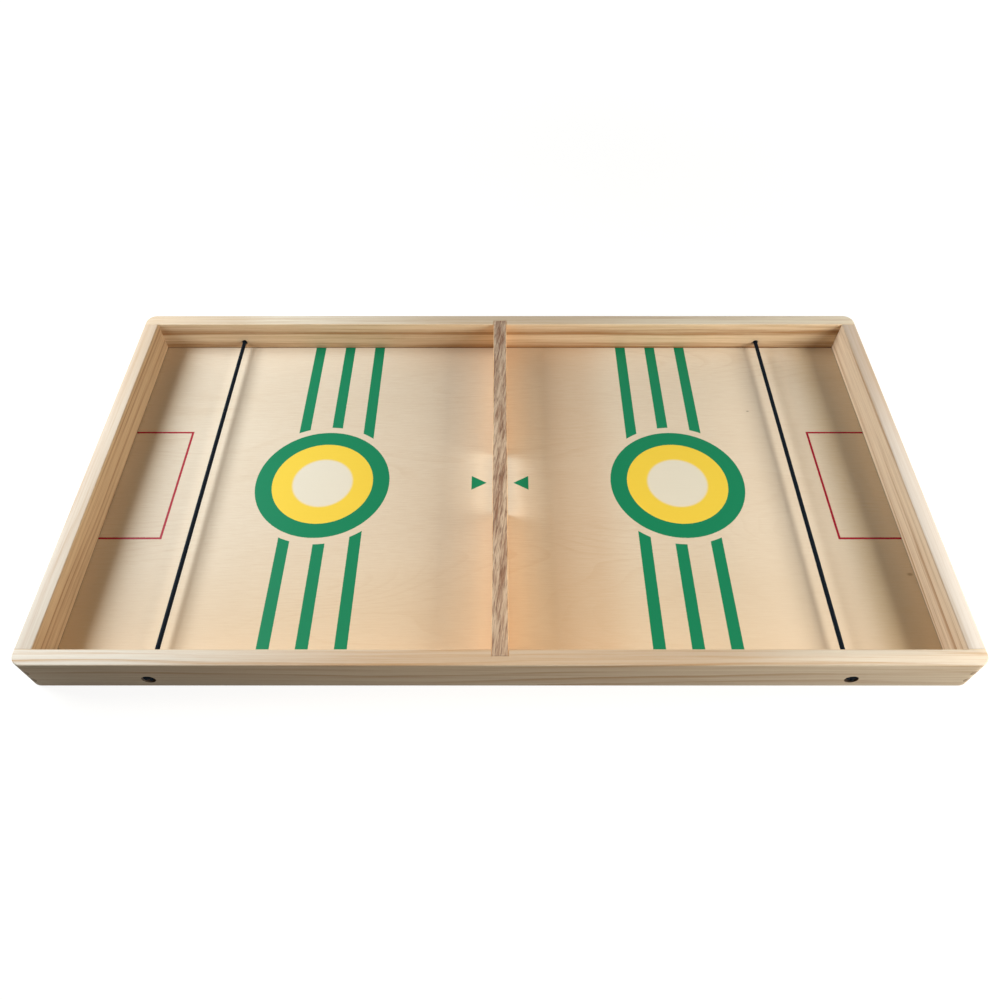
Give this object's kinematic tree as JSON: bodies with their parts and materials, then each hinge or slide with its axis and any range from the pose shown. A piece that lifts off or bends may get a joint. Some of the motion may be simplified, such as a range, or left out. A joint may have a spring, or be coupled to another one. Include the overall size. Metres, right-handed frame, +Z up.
{
  "type": "sling puck game",
  "caption": "Shallow wooden tray game with a gated divider across the middle and an elastic sling cord near each end for shooting pucks through the gate.",
  "frame": {"origin": "on the table under the middle of the tray", "axes": "+X along the long rails, +Y from the front long rail to the back one, +Z up"},
  "size_m": [0.56, 0.302, 0.0275],
  "materials": {
    "pine_rail": "pale sanded pine with open lengthwise grain",
    "birch_board": "pale birch plywood, smooth, with printed play marks",
    "divider_wood": "greyish brown open-pored hardwood, sanded",
    "elastic_cord": "braided cover over a rubber core, near black",
    "beech_dowel": "end grain, sanded flush",
    "steel_pin": "plain wire pin"
  },
  "bodies": {
    "game_box": {"front_rail": "pine_rail", "back_rail": "pine_rail", "left_rail": "pine_rail", "right_rail": "pine_rail", "playing_board": "birch_board", "centre_divider": "divider_wood", "front_left_lower_dowel": "beech_dowel", "front_left_upper_dowel": "beech_dowel", "front_right_lower_dowel": "beech_dowel", "front_right_upper_dowel": "beech_dowel", "back_left_lower_dowel": "beech_dowel", "back_left_upper_dowel": "beech_dowel", "back_right_lower_dowel": "beech_dowel", "back_right_upper_dowel": "beech_dowel", "board_pin_01": "steel_pin", "board_pin_02": "steel_pin", "board_pin_03": "steel_pin", "board_pin_04": "steel_pin", "board_pin_05": "steel_pin", "board_pin_06": "steel_pin", "board_pin_07": "steel_pin", "board_pin_08": "steel_pin", "board_pin_09": "steel_pin", "board_pin_10": "steel_pin", "board_pin_11": "steel_pin", "board_pin_12": "steel_pin", "board_pin_13": "steel_pin", "board_pin_14": "steel_pin", "board_pin_15": "steel_pin", "board_pin_16": "steel_pin", "board_pin_17": "steel_pin", "board_pin_18": "steel_pin", "board_pin_19": "steel_pin", "board_pin_20": "steel_pin"},
    "left_cord": {"left_sling_cord": "elastic_cord"},
    "right_cord": {"right_sling_cord": "elastic_cord"}
  },
  "joints": [
    {"name": "left_cord_pull", "type": "slide", "parent": "game_box", "child": "left_cord", "axis": [-1, 0, 0], "range_m": [0, 0.035], "stiffness_N_per_m": 150, "deforming": ["left_sling_cord"]},
    {"name": "right_cord_pull", "type": "slide", "parent": "game_box", "child": "right_cord", "axis": [1, 0, 0], "range_m": [0, 0.035], "stiffness_N_per_m": 150, "deforming": ["right_sling_cord"]}
  ]
}
